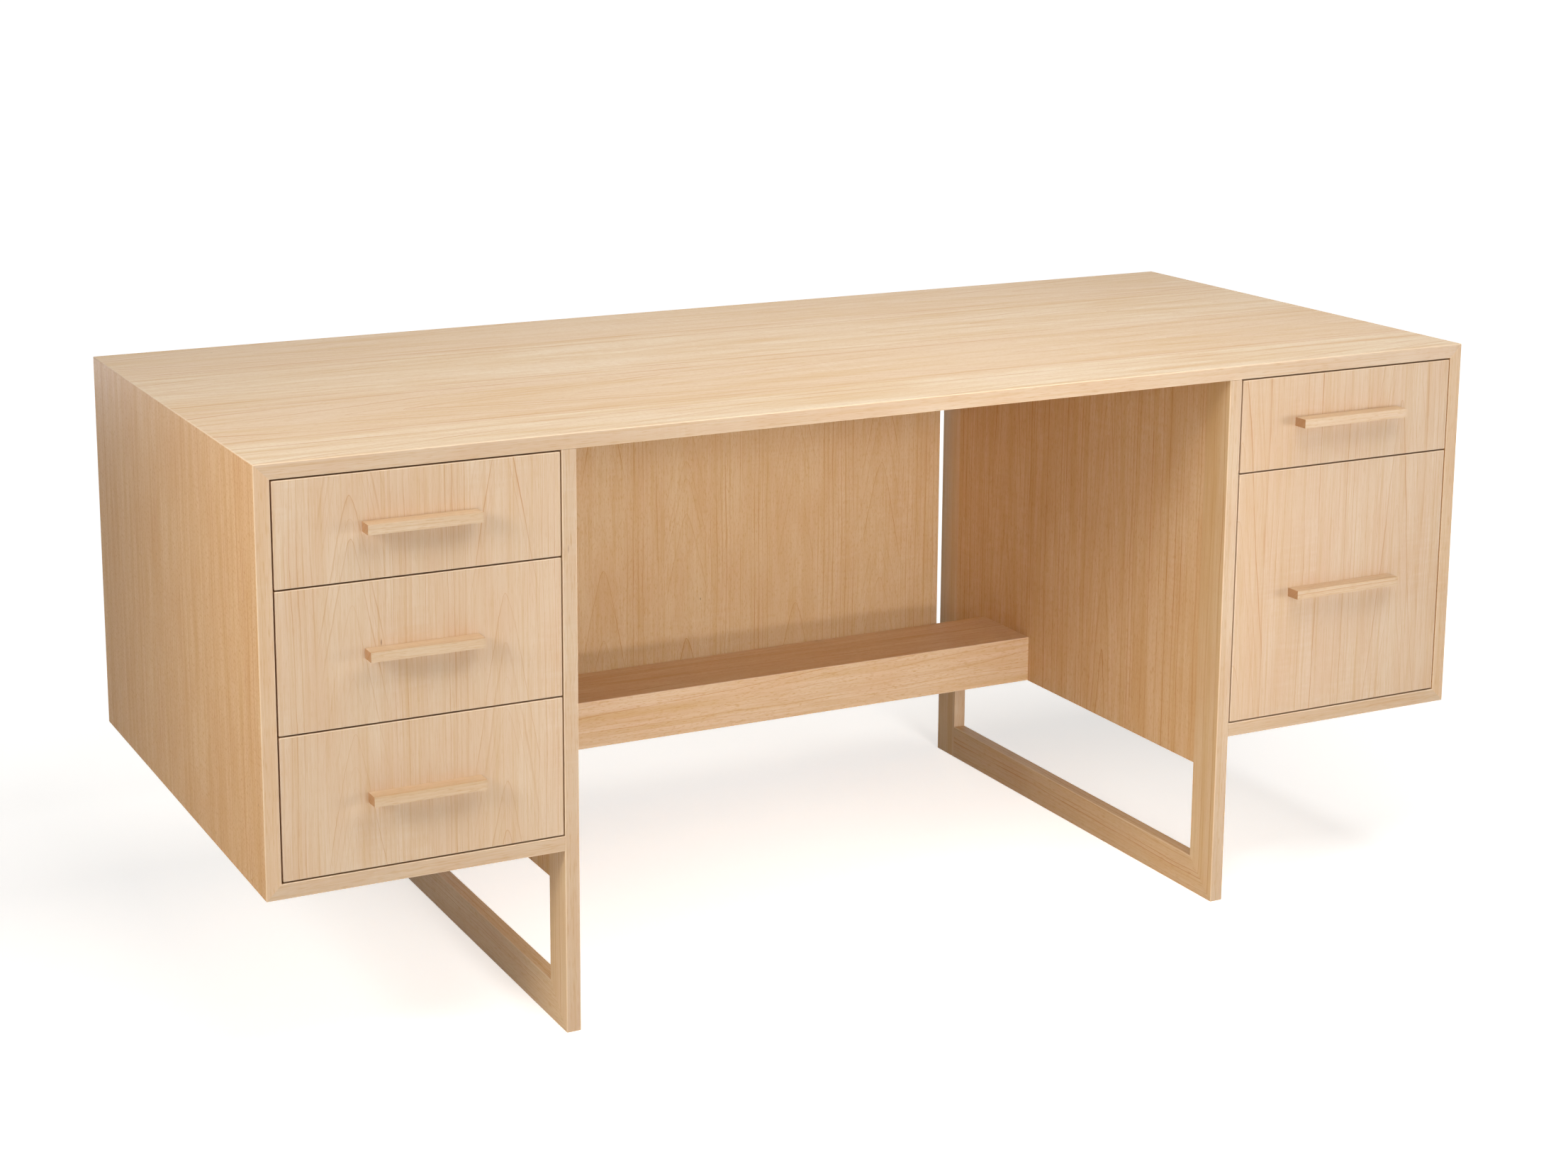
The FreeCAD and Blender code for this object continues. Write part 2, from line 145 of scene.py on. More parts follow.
# %% Maple figure: group and sockets
figure = bpy.data.node_groups.new("plain_sliced_maple_figure", "ShaderNodeTree")
FIGURE_INPUTS = {
    "Along": 0.0,
    "Across": 0.0,
    "Seed": 0.0,
    "Leaf width": 192.0,
    "Heart wander": 40.0,
    "Heart depth": 6.0,
    "Arch width": 38.0,
    "Ring spacing": 7.2,
    "Slant": 0.18,
    "Line spacing": 7.5,
    "Line width": 1.25,
    "Line strength": 0.8,
    "Streaks": 0.3,
    "Pores": 0.15,
    "Leaf tone": 0.25,
    "Run": 1.0,
}
for name, value in FIGURE_INPUTS.items():
    socket = figure.interface.new_socket(name, in_out="INPUT", socket_type="NodeSocketFloat")
    socket.default_value = value
figure.interface.new_socket("Colour", in_out="OUTPUT", socket_type="NodeSocketColor")
figure.interface.new_socket("Roughness", in_out="OUTPUT", socket_type="NodeSocketFloat")
figure.interface.new_socket("Height", in_out="OUTPUT", socket_type="NodeSocketFloat")
entry = figure.nodes.new("NodeGroupInput").outputs
along, across, seed = entry["Along"], entry["Across"], entry["Seed"]
print("figure inputs:", list(FIGURE_INPUTS))

# %% Maple figure: veneer leaves
LEAF_START_MM = 900.0
leaf_count = add(figure, "Math", {0: across, 1: entry["Leaf width"]}, operation="DIVIDE")
leaf_number = add(figure, "Math", {0: leaf_count}, operation="FLOOR")
leaf_fraction = add(figure, "Math", {0: leaf_count, 1: leaf_number}, operation="SUBTRACT")
leaf_centred = add(figure, "Math", {0: leaf_fraction, 1: 0.5}, operation="SUBTRACT")
leaf_place = add(figure, "Math", {0: leaf_centred, 1: entry["Leaf width"]}, operation="MULTIPLY")
leaf_key = add(figure, "CombineXYZ", {0: leaf_number, 1: seed})
leaf_chance = add(
    figure, "TexWhiteNoise", {"Vector": leaf_key}, output="Color", noise_dimensions="2D",
)
leaf_draws = add(figure, "SeparateColor", {0: leaf_chance}).node.outputs
wander_draw = add(figure, "Math", {0: leaf_draws[0], 1: 0.5}, operation="SUBTRACT")
heart = add(figure, "Math", {0: wander_draw, 1: entry["Heart wander"]}, operation="MULTIPLY")
heart_place = add(figure, "Math", {0: leaf_place, 1: heart}, operation="SUBTRACT")
leaf_along = add(
    figure, "Math", {0: leaf_draws[1], 1: LEAF_START_MM, 2: along}, operation="MULTIPLY_ADD",
)
print("a leaf is", FIGURE_INPUTS["Leaf width"], "mm wide unless a board says otherwise")

# %% Maple figure: what bends the rings
BEND_MM = 14.0
BEND_ACROSS_MM = 80.0
BEND_ALONG_MM = 260.0
RIPPLE_MM = 3.0
RIPPLE_FINER = 5.0
bend_scale = add(figure, "CombineXYZ", {0: 1 / BEND_ACROSS_MM, 1: 1 / BEND_ALONG_MM, 2: 1.0})
bend_place = add(figure, "CombineXYZ", {0: across, 1: leaf_along, 2: seed})
bend_vector = add(figure, "VectorMath", {0: bend_place, 1: bend_scale}, operation="MULTIPLY")
bend = add(
    figure, "TexNoise", {"Vector": bend_vector, "Scale": 1.0, "Detail": 1.0, "Roughness": 0.45},
)
bend_mm = add(figure, "Math", {0: bend, 1: BEND_MM}, operation="MULTIPLY")
ripple_vector = add(
    figure, "VectorMath", {0: bend_vector, "Scale": RIPPLE_FINER}, operation="SCALE",
)
ripple = add(figure, "TexNoise", {"Vector": ripple_vector, "Scale": 1.0, "Detail": 2.0})
bent = add(figure, "Math", {0: ripple, 1: RIPPLE_MM, 2: bend_mm}, operation="MULTIPLY_ADD")
print("rings wander by up to", BEND_MM + RIPPLE_MM, "mm")

# %% Maple figure: growth rings
STRAIGHT_BEND = 0.8
ARCH_ENDS = (1.2, 0.8)
heart_square = add(figure, "Math", {0: heart_place, 1: heart_place}, operation="MULTIPLY")
depth_square = add(
    figure, "Math", {0: entry["Heart depth"], 1: entry["Heart depth"]}, operation="MULTIPLY",
)
radius_square = add(figure, "Math", {0: heart_square, 1: depth_square}, operation="ADD")
radius = add(figure, "Math", {0: radius_square}, operation="SQRT")
slanted = add(
    figure, "Math", {0: leaf_along, 1: entry["Slant"], 2: radius}, operation="MULTIPLY_ADD",
)
arch_distance = add(figure, "Math", {0: slanted, 1: bent}, operation="ADD")
straight_distance = add(
    figure, "Math", {0: bent, 1: STRAIGHT_BEND, 2: heart_place}, operation="MULTIPLY_ADD",
)
flank = add(figure, "Math", {0: heart_place}, operation="ABSOLUTE")
steepness = add(figure, "Math", {0: flank, 1: radius}, operation="DIVIDE")
climb = add(figure, "CombineXYZ", {0: steepness, 1: entry["Slant"]})
climb_rate = add(figure, "VectorMath", {0: climb}, output="Value", operation="LENGTH")
ring_width = add(figure, "Math", {0: entry["Ring spacing"], 1: climb_rate}, operation="DIVIDE")
arch_place = add(figure, "Math", {0: flank, 1: entry["Arch width"]}, operation="DIVIDE")
arch_share = add(
    figure, "MapRange", {0: arch_place, 1: ARCH_ENDS[0], 2: ARCH_ENDS[1], 3: 0.0, 4: 1.0},
)
arch_step = FIGURE_INPUTS["Ring spacing"] / FIGURE_INPUTS["Slant"]
print("arches stand about", round(arch_step), "mm above each other")

# %% [markdown]
# A ring isn't an even stripe. It darkens slowly through the summer and ends in a thin brown line
# where growth stopped. That line is about as thick at the head of an arch, where a ring is drawn
# out wide, as on its flanks, so it is measured in millimetres and not as a share of the ring.
# Where the knife met the rings at a low angle, as on the top and the sides, the lines are
# broader. Good years and poor years alternate at random: the steps are stretched by a slow noise,
# and each line has its own strength.

# %% Maple figure: ring lines
YEARS_MM = 26.0
YEARS_SWAY = 3.0
LINE_CORE = 0.4
SUMMER_TONE = 0.25
SUMMER_CURVE = 3.0
STRENGTH_CURVE = 1.5
line_core = add(figure, "Math", {0: entry["Line width"], 1: LINE_CORE}, operation="MULTIPLY")
ring_lines = {}
for kind, distance, spacing, width in (
    ("arch", arch_distance, entry["Ring spacing"], ring_width),
    ("straight", straight_distance, entry["Line spacing"], entry["Line spacing"]),
):
    years = add(figure, "Math", {0: distance, 1: 1 / YEARS_MM}, operation="MULTIPLY")
    year_noise = add(
        figure, "TexNoise", {"W": years, "Scale": 1.0, "Detail": 2.0}, noise_dimensions="1D",
    )
    count = add(figure, "Math", {0: distance, 1: spacing}, operation="DIVIDE")
    phase = add(figure, "Math", {0: year_noise, 1: YEARS_SWAY, 2: count}, operation="MULTIPLY_ADD")
    number = add(figure, "Math", {0: phase}, operation="FLOOR")
    fraction = add(figure, "Math", {0: phase, 1: number}, operation="SUBTRACT")
    left_over = add(figure, "Math", {0: 1.0, 1: fraction}, operation="SUBTRACT")
    gap = add(figure, "Math", {0: left_over, 1: width}, operation="MULTIPLY")
    thin = add(figure, "MapRange", {0: gap, 1: entry["Line width"], 2: line_core, 3: 0.0, 4: 1.0})
    summer = add(figure, "Math", {0: fraction, 1: SUMMER_CURVE}, operation="POWER")
    summer_tone = add(figure, "Math", {0: summer, 1: SUMMER_TONE}, operation="MULTIPLY")
    shape = add(figure, "Math", {0: thin, 1: summer_tone}, operation="MAXIMUM")
    chance = add(figure, "TexWhiteNoise", {"W": number}, noise_dimensions="1D")
    strength = add(figure, "Math", {0: chance, 1: STRENGTH_CURVE}, operation="POWER")
    ring_lines[kind] = add(figure, "Math", {0: shape, 1: strength}, operation="MULTIPLY")
both_lines = add(
    figure, "Mix", {0: arch_share, 2: ring_lines["straight"], 3: ring_lines["arch"]},
    data_type="FLOAT",
)
print("ring lines are", FIGURE_INPUTS["Line width"], "mm wide unless a board says otherwise")

# %% Maple figure: where ring lines fade
FADE_FINER = 2.3
FADE_RANGE = (0.3, 0.65)
FADE_LEAST = 0.3
fade_vector = add(figure, "VectorMath", {0: bend_vector, "Scale": FADE_FINER}, operation="SCALE")
fade = add(figure, "TexNoise", {"Vector": fade_vector, "Scale": 1.0, "Detail": 1.0})
fade_level = add(
    figure, "MapRange", {0: fade, 1: FADE_RANGE[0], 2: FADE_RANGE[1], 3: FADE_LEAST, 4: 1.0},
)
ring_line = add(figure, "Math", {0: both_lines, 1: fade_level}, operation="MULTIPLY")
print("ring lines fade to", FADE_LEAST, "of their strength in places")

# %% [markdown]
# Between the rings maple is quiet, but not plain. Fine fibres and pores run along the grain,
# broad streaks and pale clouds show where the fibres tilt, some leaves have a faint curl across
# the grain, and here and there sits a short dark mineral fleck. Real fibres and pores are a tenth
# of a millimetre wide and would vanish at this distance, so they are drawn about 1.5 mm wide. Run
# shortens the four that follow the fibres, for boards whose fibres surface and dive again after a
# short way.

# %% Maple figure: fibres, pores, streaks, clouds and curl
# Each pattern: width across the grain in mm, length along it in mm, detail of the noise.
FINE_PATTERNS = {
    "fibre": (1.5, 70.0, 3.0),
    "pore": (1.3, 13.0, 1.0),
    "thread": (3.5, 220.0, 2.0),
    "streak": (17.0, 620.0, 3.0),
    "cloud": (30.0, 110.0, 2.0),
    "curl": (38.0, 7.5, 1.0),
    "curl_place": (170.0, 260.0, 0.0),
}
SHORTENED = ("fibre", "pore", "thread", "streak")
LEAF_STEP = 3.7
flat_along = add(figure, "Math", {0: leaf_along, 1: entry["Run"]}, operation="DIVIDE")
flat_place = add(figure, "CombineXYZ", {0: across, 1: flat_along, 2: leaf_number})
full_place = add(figure, "CombineXYZ", {0: across, 1: leaf_along, 2: leaf_number})
fine = {}
for name, (width, length, detail) in FINE_PATTERNS.items():
    scale = add(figure, "CombineXYZ", {0: 1 / width, 1: 1 / length, 2: LEAF_STEP})
    base = flat_place if name in SHORTENED else full_place
    vector = add(figure, "VectorMath", {0: base, 1: scale}, operation="MULTIPLY")
    fine[name] = add(figure, "TexNoise", {"Vector": vector, "Scale": 1.0, "Detail": detail})
print("patterns:", {name: f"{w} by {l} mm" for name, (w, l, _) in FINE_PATTERNS.items()})

# %% Maple figure: mineral flecks
FLECK_CELL_MM = (26.0, 120.0)
FLECK_RIM, FLECK_CORE = 0.045, 0.015
FLECK_RARE = 0.72
fleck_scale = add(
    figure, "CombineXYZ", {0: 1 / FLECK_CELL_MM[0], 1: 1 / FLECK_CELL_MM[1], 2: LEAF_STEP},
)
fleck_vector = add(figure, "VectorMath", {0: flat_place, 1: fleck_scale}, operation="MULTIPLY")
fleck_cells = add(figure, "TexVoronoi", {"Vector": fleck_vector, "Scale": 1.0}).node.outputs
fleck_shape = add(
    figure, "MapRange", {0: fleck_cells["Distance"], 1: FLECK_RIM, 2: FLECK_CORE, 3: 0.0, 4: 1.0},
)
fleck_draw = add(figure, "SeparateColor", {0: fleck_cells["Color"]})
fleck_chosen = add(figure, "Math", {0: fleck_draw, 1: FLECK_RARE}, operation="GREATER_THAN")
fleck = add(figure, "Math", {0: fleck_shape, 1: fleck_chosen}, operation="MULTIPLY")
print("a fleck in", round(1 - FLECK_RARE, 2), "of the cells of", FLECK_CELL_MM, "mm")

# %% [markdown]
# The colours are laid over each other from the broad to the fine: the pale ground and its warmer
# clouds, the tone of the leaf, streaks and threads, the ring lines, fibres, pores and last the
# flecks. On maple a darker tone is also a more orange one, so every colour down the list loses
# more blue than red. The contrast stays low: lacquered maple is seen as one calm cream surface
# first and as figure second.

# %% Maple figure: colours
PALE = hex_colour("EACCA9")
WARM = hex_colour("E5C19C")
LEAF_TAN = hex_colour("E2BC96")
STREAK_TAN = hex_colour("D8AB76")
THREAD_TAN = hex_colour("DCB282")
RING_BROWN = hex_colour("C4803A")
FIBRE_BROWN = hex_colour("D4A46A")
PORE_BROWN = hex_colour("CA9250")
FLECK_BROWN = hex_colour("7A4B26")
CURL_CREAM = hex_colour("F1DABD")
CURL_SHARE = 0.2
FLECK_SHARE = 0.65

# Each pattern: the noise level where it begins to show, where it shows fully, and its most share.
SHOWN_FROM = {
    "cloud": (0.35, 0.68, 0.9),
    "curl_place": (0.5, 0.62, 1.0),
    "curl": (0.45, 0.7, 1.0),
    "streak": (0.42, 0.68, 1.0),
    "thread": (0.5, 0.72, 0.5),
    "fibre": (0.5, 0.75, 0.35),
    "pore": (0.55, 0.72, 1.0),
}
shown = {}
for name, (begin, full, most) in SHOWN_FROM.items():
    shown[name] = add(figure, "MapRange", {0: fine[name], 1: begin, 2: full, 3: 0.0, 4: most})
leaf_amount = add(figure, "Math", {0: leaf_draws[2], 1: entry["Leaf tone"]}, operation="MULTIPLY")
curl_here = add(figure, "Math", {0: shown["curl_place"], 1: shown["curl"]}, operation="MULTIPLY")
curl_amount = add(figure, "Math", {0: curl_here, 1: CURL_SHARE}, operation="MULTIPLY")
streak_amount = add(figure, "Math", {0: shown["streak"], 1: entry["Streaks"]}, operation="MULTIPLY")
ring_amount = add(figure, "Math", {0: ring_line, 1: entry["Line strength"]}, operation="MULTIPLY")
pore_amount = add(figure, "Math", {0: shown["pore"], 1: entry["Pores"]}, operation="MULTIPLY")
fleck_amount = add(figure, "Math", {0: fleck, 1: FLECK_SHARE}, operation="MULTIPLY")
LAYERS = [
    (WARM, shown["cloud"]),
    (LEAF_TAN, leaf_amount),
    (CURL_CREAM, curl_amount),
    (STREAK_TAN, streak_amount),
    (THREAD_TAN, shown["thread"]),
    (RING_BROWN, ring_amount),
    (FIBRE_BROWN, shown["fibre"]),
    (PORE_BROWN, pore_amount),
    (FLECK_BROWN, fleck_amount),
]
tone = PALE
for colour, amount in LAYERS:
    tone = add(figure, "Mix", {0: amount, 6: tone, 7: colour}, output=2, data_type="RGBA")
print(len(LAYERS), "layers of colour")

# %% Maple figure: sheen and relief
SATIN_SMOOTHEST, SATIN_ROUGHEST = 0.36, 0.48
FIBRE_LOW, FIBRE_HIGH = 0.3, 0.7
roughness = add(
    figure, "MapRange",
    {0: fine["fibre"], 1: FIBRE_LOW, 2: FIBRE_HIGH, 3: SATIN_SMOOTHEST, 4: SATIN_ROUGHEST},
)
relief = add(figure, "Math", {0: fine["fibre"], 1: ring_line}, operation="SUBTRACT")
leaving = figure.nodes.new("NodeGroupOutput")
figure.links.new(tone, leaving.inputs["Colour"])
figure.links.new(roughness, leaving.inputs["Roughness"])
figure.links.new(relief, leaving.inputs["Height"])
print("figure group has", len(figure.nodes), "nodes")

# %% [markdown]
# ## Lacquered maple for each run of grain
# Veneer is laid with its grain along a board's length, and the strips glued on its edges follow
# it. Each finish is therefore made for one direction of grain. It adds the other two directions
# together, so that the figure runs on over the edge of a board instead of smearing there. Every
# board has its own tint: partly because no two flitches are the same, and partly as painted light,
# matched to the light each board takes. Three things depend on which way a face points: the solid
# strips on front edges, which are even in tone and show short pores; eased edges, which are painted
# paler, partly for the sanding there and partly as a painted highlight along every arris; and the
# end grain of solid pieces, which drinks lacquer and looks darker. All of it is satin lacquer. It
# is built up most on the top and the pulls, which mirror a little of the white room, and is rubbed
# down dull on the sides and gables, which show their colour undiluted.

# %% Maple finish
# Eased edges are painted paler: partly for the sanding there, partly as a painted highlight.
EDGE_SANDING_AND_HIGHLIGHT_CREAM = hex_colour("F3DDBF")
EDGE_SANDING_AND_HIGHLIGHT_SHARE = 0.6
FLAT_FACE, ROUND_EDGE = 0.985, 0.9
END_GRAIN_BROWN = hex_colour("A0662E")
END_GRAIN_SHARE = 0.62
STRIP_TINT = "E0E3E9"
STRIP_FIGURE = {"Pores": 0.3, "Line strength": 0.1, "Streaks": 0.25, "Run": 1.5}
TURNED_AWAY, FACED = 0.8, 0.95
LACQUER_IOR = 1.5
COAT_ROUGHNESS = 0.3
RELIEF_STRENGTH = 0.25
RELIEF_MM = 0.03
AXES = {"X": 0, "Y": 1, "Z": 2}


def lacquered_maple(
    name, grain, seed_number, tint, shift=0.0, strips=False, solid=False, gloss=0.2, coat=0.0,
    strip_tint=STRIP_TINT, **figure_values,
):
    """Satin lacquered maple, grain along X, Y or Z: with edge strips, or solid with end grain."""
    material = bpy.data.materials.new(name)
    material.use_nodes = True
    tree = material.node_tree
    shader = tree.nodes["Principled BSDF"]
    place = add(tree, "TexCoord").node.outputs
    millimetres = add(tree, "VectorMath", {0: place["Object"], "Scale": 1 / MM}, operation="SCALE")
    split = add(tree, "SeparateXYZ", {0: millimetres}).node.outputs
    others = [split[number] for letter, number in AXES.items() if letter != grain]
    sideways = add(tree, "Math", {0: others[0], 1: others[1]}, operation="ADD")
    shifted = add(tree, "Math", {0: sideways, 1: shift}, operation="ADD")
    facing = add(tree, "VectorMath", {0: place["Normal"]}, operation="ABSOLUTE")
    faced = add(tree, "SeparateXYZ", {0: facing}).node.outputs

    group = tree.nodes.new("ShaderNodeGroup")
    group.node_tree = figure
    tree.links.new(split[AXES[grain]], group.inputs["Along"])
    tree.links.new(shifted, group.inputs["Across"])
    group.inputs["Seed"].default_value = seed_number
    for label, value in figure_values.items():
        group.inputs[label.replace("_", " ").capitalize()].default_value = value

    # The tint is partly the board's own tone and partly painted light, matched to the light it
    # takes.
    board_and_light_tint = hex_colour(tint)
    if strips:
        strip = add(tree, "MapRange", {0: faced[AXES["Y"]], 1: TURNED_AWAY, 2: FACED})
        for label, value in STRIP_FIGURE.items():
            on_board = group.inputs[label].default_value
            eased_in = add(tree, "MapRange", {0: strip, 3: on_board, 4: value})
            tree.links.new(eased_in, group.inputs[label])
        board_and_light_tint = add(
            tree, "Mix", {0: strip, 6: board_and_light_tint, 7: hex_colour(strip_tint)}, output=2,
            data_type="RGBA",
        )
    tinted = add(
        tree, "Mix", {0: 1.0, 6: group.outputs["Colour"], 7: board_and_light_tint}, output=2,
        data_type="RGBA", blend_type="MULTIPLY",
    )
    # The facets of eased edges are mixed towards cream: sanding paleness and a painted highlight.
    larger = add(tree, "Math", {0: faced[0], 1: faced[1]}, operation="MAXIMUM")
    largest = add(tree, "Math", {0: larger, 1: faced[2]}, operation="MAXIMUM")
    eased = add(tree, "MapRange", {0: largest, 1: FLAT_FACE, 2: ROUND_EDGE, 3: 0.0, 4: EDGE_SANDING_AND_HIGHLIGHT_SHARE})
    if solid:
        end = add(
            tree, "MapRange",
            {0: faced[AXES[grain]], 1: TURNED_AWAY, 2: FACED, 3: 0.0, 4: END_GRAIN_SHARE},
        )
        tinted = add(
            tree, "Mix", {0: end, 6: tinted, 7: END_GRAIN_BROWN}, output=2, data_type="RGBA",
        )
    colour = add(tree, "Mix", {0: eased, 6: tinted, 7: EDGE_SANDING_AND_HIGHLIGHT_CREAM}, output=2, data_type="RGBA")
    bump = add(
        tree, "Bump",
        {
            "Height": group.outputs["Height"],
            "Strength": RELIEF_STRENGTH,
            "Distance": RELIEF_MM * MM,
        },
    )
    tree.links.new(colour, shader.inputs["Base Color"])
    tree.links.new(group.outputs["Roughness"], shader.inputs["Roughness"])
    tree.links.new(bump, shader.inputs["Normal"])
    shader.inputs["IOR"].default_value = LACQUER_IOR
    shader.inputs["Specular IOR Level"].default_value = gloss
    shader.inputs["Coat Weight"].default_value = coat
    shader.inputs["Coat Roughness"].default_value = COAT_ROUGHNESS
    return material


print("edge strips use", STRIP_FIGURE)

# %% [markdown]
# The photograph shows which board has which figure. The top has wide leaves with long soft
# streaks, and it is the palest. The sides show short broken fibres and no arches, as veneer cut
# near the quarter does. The fronts have one or two leaves each with thin arches, and the modesty
# panel has narrow leaves with many small arches. The legs, rails and pulls are solid wood with
# straight grain. The numbers are widths and spacings in millimetres, and strengths from 0 to
# about 1.

# %% Maple finishes
STRAIGHT = {"leaf_width": 2600.0, "arch_width": 0.1, "line_spacing": 5.5}
maple = {
    # Wide leaves and long soft streaks; the most lacquer, so a slight shine. It is the palest
    # board:
    #     # its pale, cool tint is partly painted light, the washed-out look of the brightly lit
    #     top.
    "top": lacquered_maple(
        "maple_veneer_top_satin_lacquer", "X", 304, "F2FBFF", shift=-280.0, strips=True,
        gloss=0.35, coat=0.05, leaf_width=220.0, arch_width=75.0, slant=-0.16, ring_spacing=13.0,
        heart_wander=20.0, line_spacing=11.0, line_width=3.0, line_strength=1.0, streaks=0.85,
        pores=0.42, leaf_tone=1.5, run=0.5,
    ),
    # Quiet veneer; little more than its front strip is seen.
    "bottom": lacquered_maple(
        "maple_veneer_bottoms_satin_lacquer", "X", 5, "E7EDF3", strips=True,
    ),
    # Upright broken fibres, rubbed down dull, so the tan shows with hardly any shine over it.
    # Its warm tint is partly painted shade: the warmer colour of a less lit face.
    "side": lacquered_maple(
        "maple_veneer_sides_satin_lacquer", "Z", 11, "F6E8CE", shift=1900.0, strips=True,
        strip_tint="ECEFF5", gloss=0.05, run=0.35, streaks=0.6, pores=0.8, line_width=2.0,
        line_strength=0.8, **STRAIGHT,
    ),
    # Warm, shaded inner faces with broad streaks, as dull as the sides.
    "gable": lacquered_maple(
        "maple_veneer_gables_satin_lacquer", "Z", 17, "F2EEE3", strips=True, gloss=0.02,
        leaf_width=260.0, slant=0.09, ring_spacing=8.0, streaks=0.55, pores=0.4, run=0.6,
        line_width=1.8, line_strength=1.0,
    ),
    # Two leaves side by side with thin arches that run on from drawer to drawer.
    "left_front": lacquered_maple(
        "maple_veneer_left_fronts_satin_lacquer", "Z", 23, "E8EDF6", shift=54.5, heart_wander=8.0,
    ),
    # One wide leaf in the middle, with steep arches.
    "right_front": lacquered_maple(
        "maple_veneer_right_fronts_satin_lacquer", "Z", 29, "E6EAF3", shift=-1.0, leaf_width=273.0,
        heart_wander=8.0, arch_width=45.0, slant=0.1, ring_spacing=9.0, line_spacing=9.5,
        line_strength=0.75,
    ),
    # Narrow leaves with many small arches.
    "modesty": lacquered_maple(
        "maple_veneer_modesty_satin_lacquer", "Z", 34, "F3F5EE", shift=-1.0, gloss=0.1,
        leaf_width=155.0, run=0.5, pores=0.35, heart_wander=60.0, heart_depth=7.0, arch_width=34.0,
        slant=0.2, ring_spacing=10.0, line_spacing=7.5, line_width=1.5, line_strength=1.0,
    ),
    # Long flat arches that lie along the beam.
    "beam": lacquered_maple(
        "maple_veneer_beam_satin_lacquer", "X", 37, "F4F7FA", leaf_width=150.0, arch_width=60.0,
        slant=0.06, ring_spacing=11.0, line_strength=1.0, streaks=0.7, pores=0.45, run=0.6,
    ),
    # Plain backing veneer.
    "back": lacquered_maple("maple_veneer_backs_satin_lacquer", "Z", 41, "FAF9F2"),
    # Solid wood with straight lines; the cut ends are darker.
    "leg": lacquered_maple(
        "solid_maple_legs_satin_lacquer", "Z", 17, "EEECDE", strips=True, solid=True, streaks=0.5,
        **STRAIGHT,
    ),
    "rail": lacquered_maple(
        "solid_maple_rails_satin_lacquer", "Y", 47, "ECEADD", strips=True, solid=True, pores=0.4,
        **STRAIGHT,
    ),
    # Solid bars polished by hands, so they shine more than the boards; dark end grain at both ends.
    "pull": lacquered_maple(
        "solid_maple_pulls_satin_lacquer", "X", 53, "E1E3E3", solid=True, gloss=0.6, pores=0.35,
        streaks=0.3, **STRAIGHT,
    ),
}
print(len(maple), "maple finishes")

# %% [markdown]
# ## Mitred boards
# The top, the sides and the pedestal bottoms meet in mitres, and the makers eased the outer edge
# after the joint was glued. A bevel on each board by itself would leave a notch along every
# mitre. So each board is cut out of one block that already has its outer edges eased: a plane
# takes away what belongs to the neighbour, and both boards keep half of the same rounded edge.

# %% Board tools
EASE = 1.1 * MM
INNER_EASE = 0.8 * EASE
ON_PLANE = 1e-7
SQUARE_WITHIN = 5.0
EASED_EDGE = {
    "offset_type": "OFFSET", "affect": "EDGES", "segments": 2, "profile": 0.5, "material": -1,
}


def eased_block(low, high):
    """Block between two corners, all its edges slightly rounded."""
    block = bmesh.new()
    bmesh.ops.create_cube(block, size=1.0)
    bmesh.ops.scale(block, vec=high - low, verts=block.verts)
    bmesh.ops.translate(block, vec=(low + high) / 2, verts=block.verts)
    bmesh.ops.bevel(block, geom=block.edges[:], offset=EASE, **EASED_EDGE)
    return block


def is_square(edge):
    """Whether the two faces at an edge meet at about a right angle."""
    return abs(math.degrees(edge.calc_face_angle()) - 90) < SQUARE_WITHIN


def cut_away(block, point, towards, eased=False):
    """Take away what lies beyond a plane, close the cut, and ease its square edges if asked."""
    everything = block.verts[:] + block.edges[:] + block.faces[:]
    bmesh.ops.bisect_plane(
        block, geom=everything, dist=ON_PLANE, plane_co=point, plane_no=towards, clear_outer=True,
    )
    rim = [edge for edge in block.edges if edge.is_boundary]
    bmesh.ops.holes_fill(block, edges=rim, sides=0)
    if eased:
        square = [edge for edge in rim if edge.is_valid and is_square(edge)]
        bmesh.ops.bevel(block, geom=square, offset=INNER_EASE, **EASED_EDGE)


def finished_board(name, block, node, material):
    """Turn a shaped block into the piece that stands for one solid."""
    bmesh.ops.recalc_face_normals(block, faces=block.faces)
    mesh = bpy.data.meshes.new(name)
    block.to_mesh(mesh)
    block.free()
    board = bpy.data.objects.new(name, mesh)
    bpy.context.scene.collection.objects.link(board)
    mesh.materials.append(material)
    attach(board, nodes[node]["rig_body"])
    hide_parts(node)
    print(name, "stands for", node, "with", len(mesh.polygons), "faces")


print("edges are eased by", EASE / MM, "mm")

# %% [markdown]
# The whole outer box of the case, without the pulls, is the block that the five mitred boards
# share.

# %% Case boards
top_low, top_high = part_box("top_panel")
left_low, left_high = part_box("left_side_panel")
right_low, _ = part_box("right_side_panel")
case_low = Vector((top_low.x, top_low.y, left_low.z))
case_high = top_high
UP, DOWN = Vector((0, 0, 1)), Vector((0, 0, -1))
LEFT, RIGHT = Vector((-1, 0, 0)), Vector((1, 0, 0))

top_block = eased_block(case_low, case_high)
cut_away(top_block, top_low, DOWN, eased=True)
cut_away(top_block, Vector((case_low.x, 0, case_high.z)), DOWN + LEFT)
cut_away(top_block, Vector((case_high.x, 0, case_high.z)), DOWN + RIGHT)
finished_board("case_top", top_block, "top_panel", maple["top"])

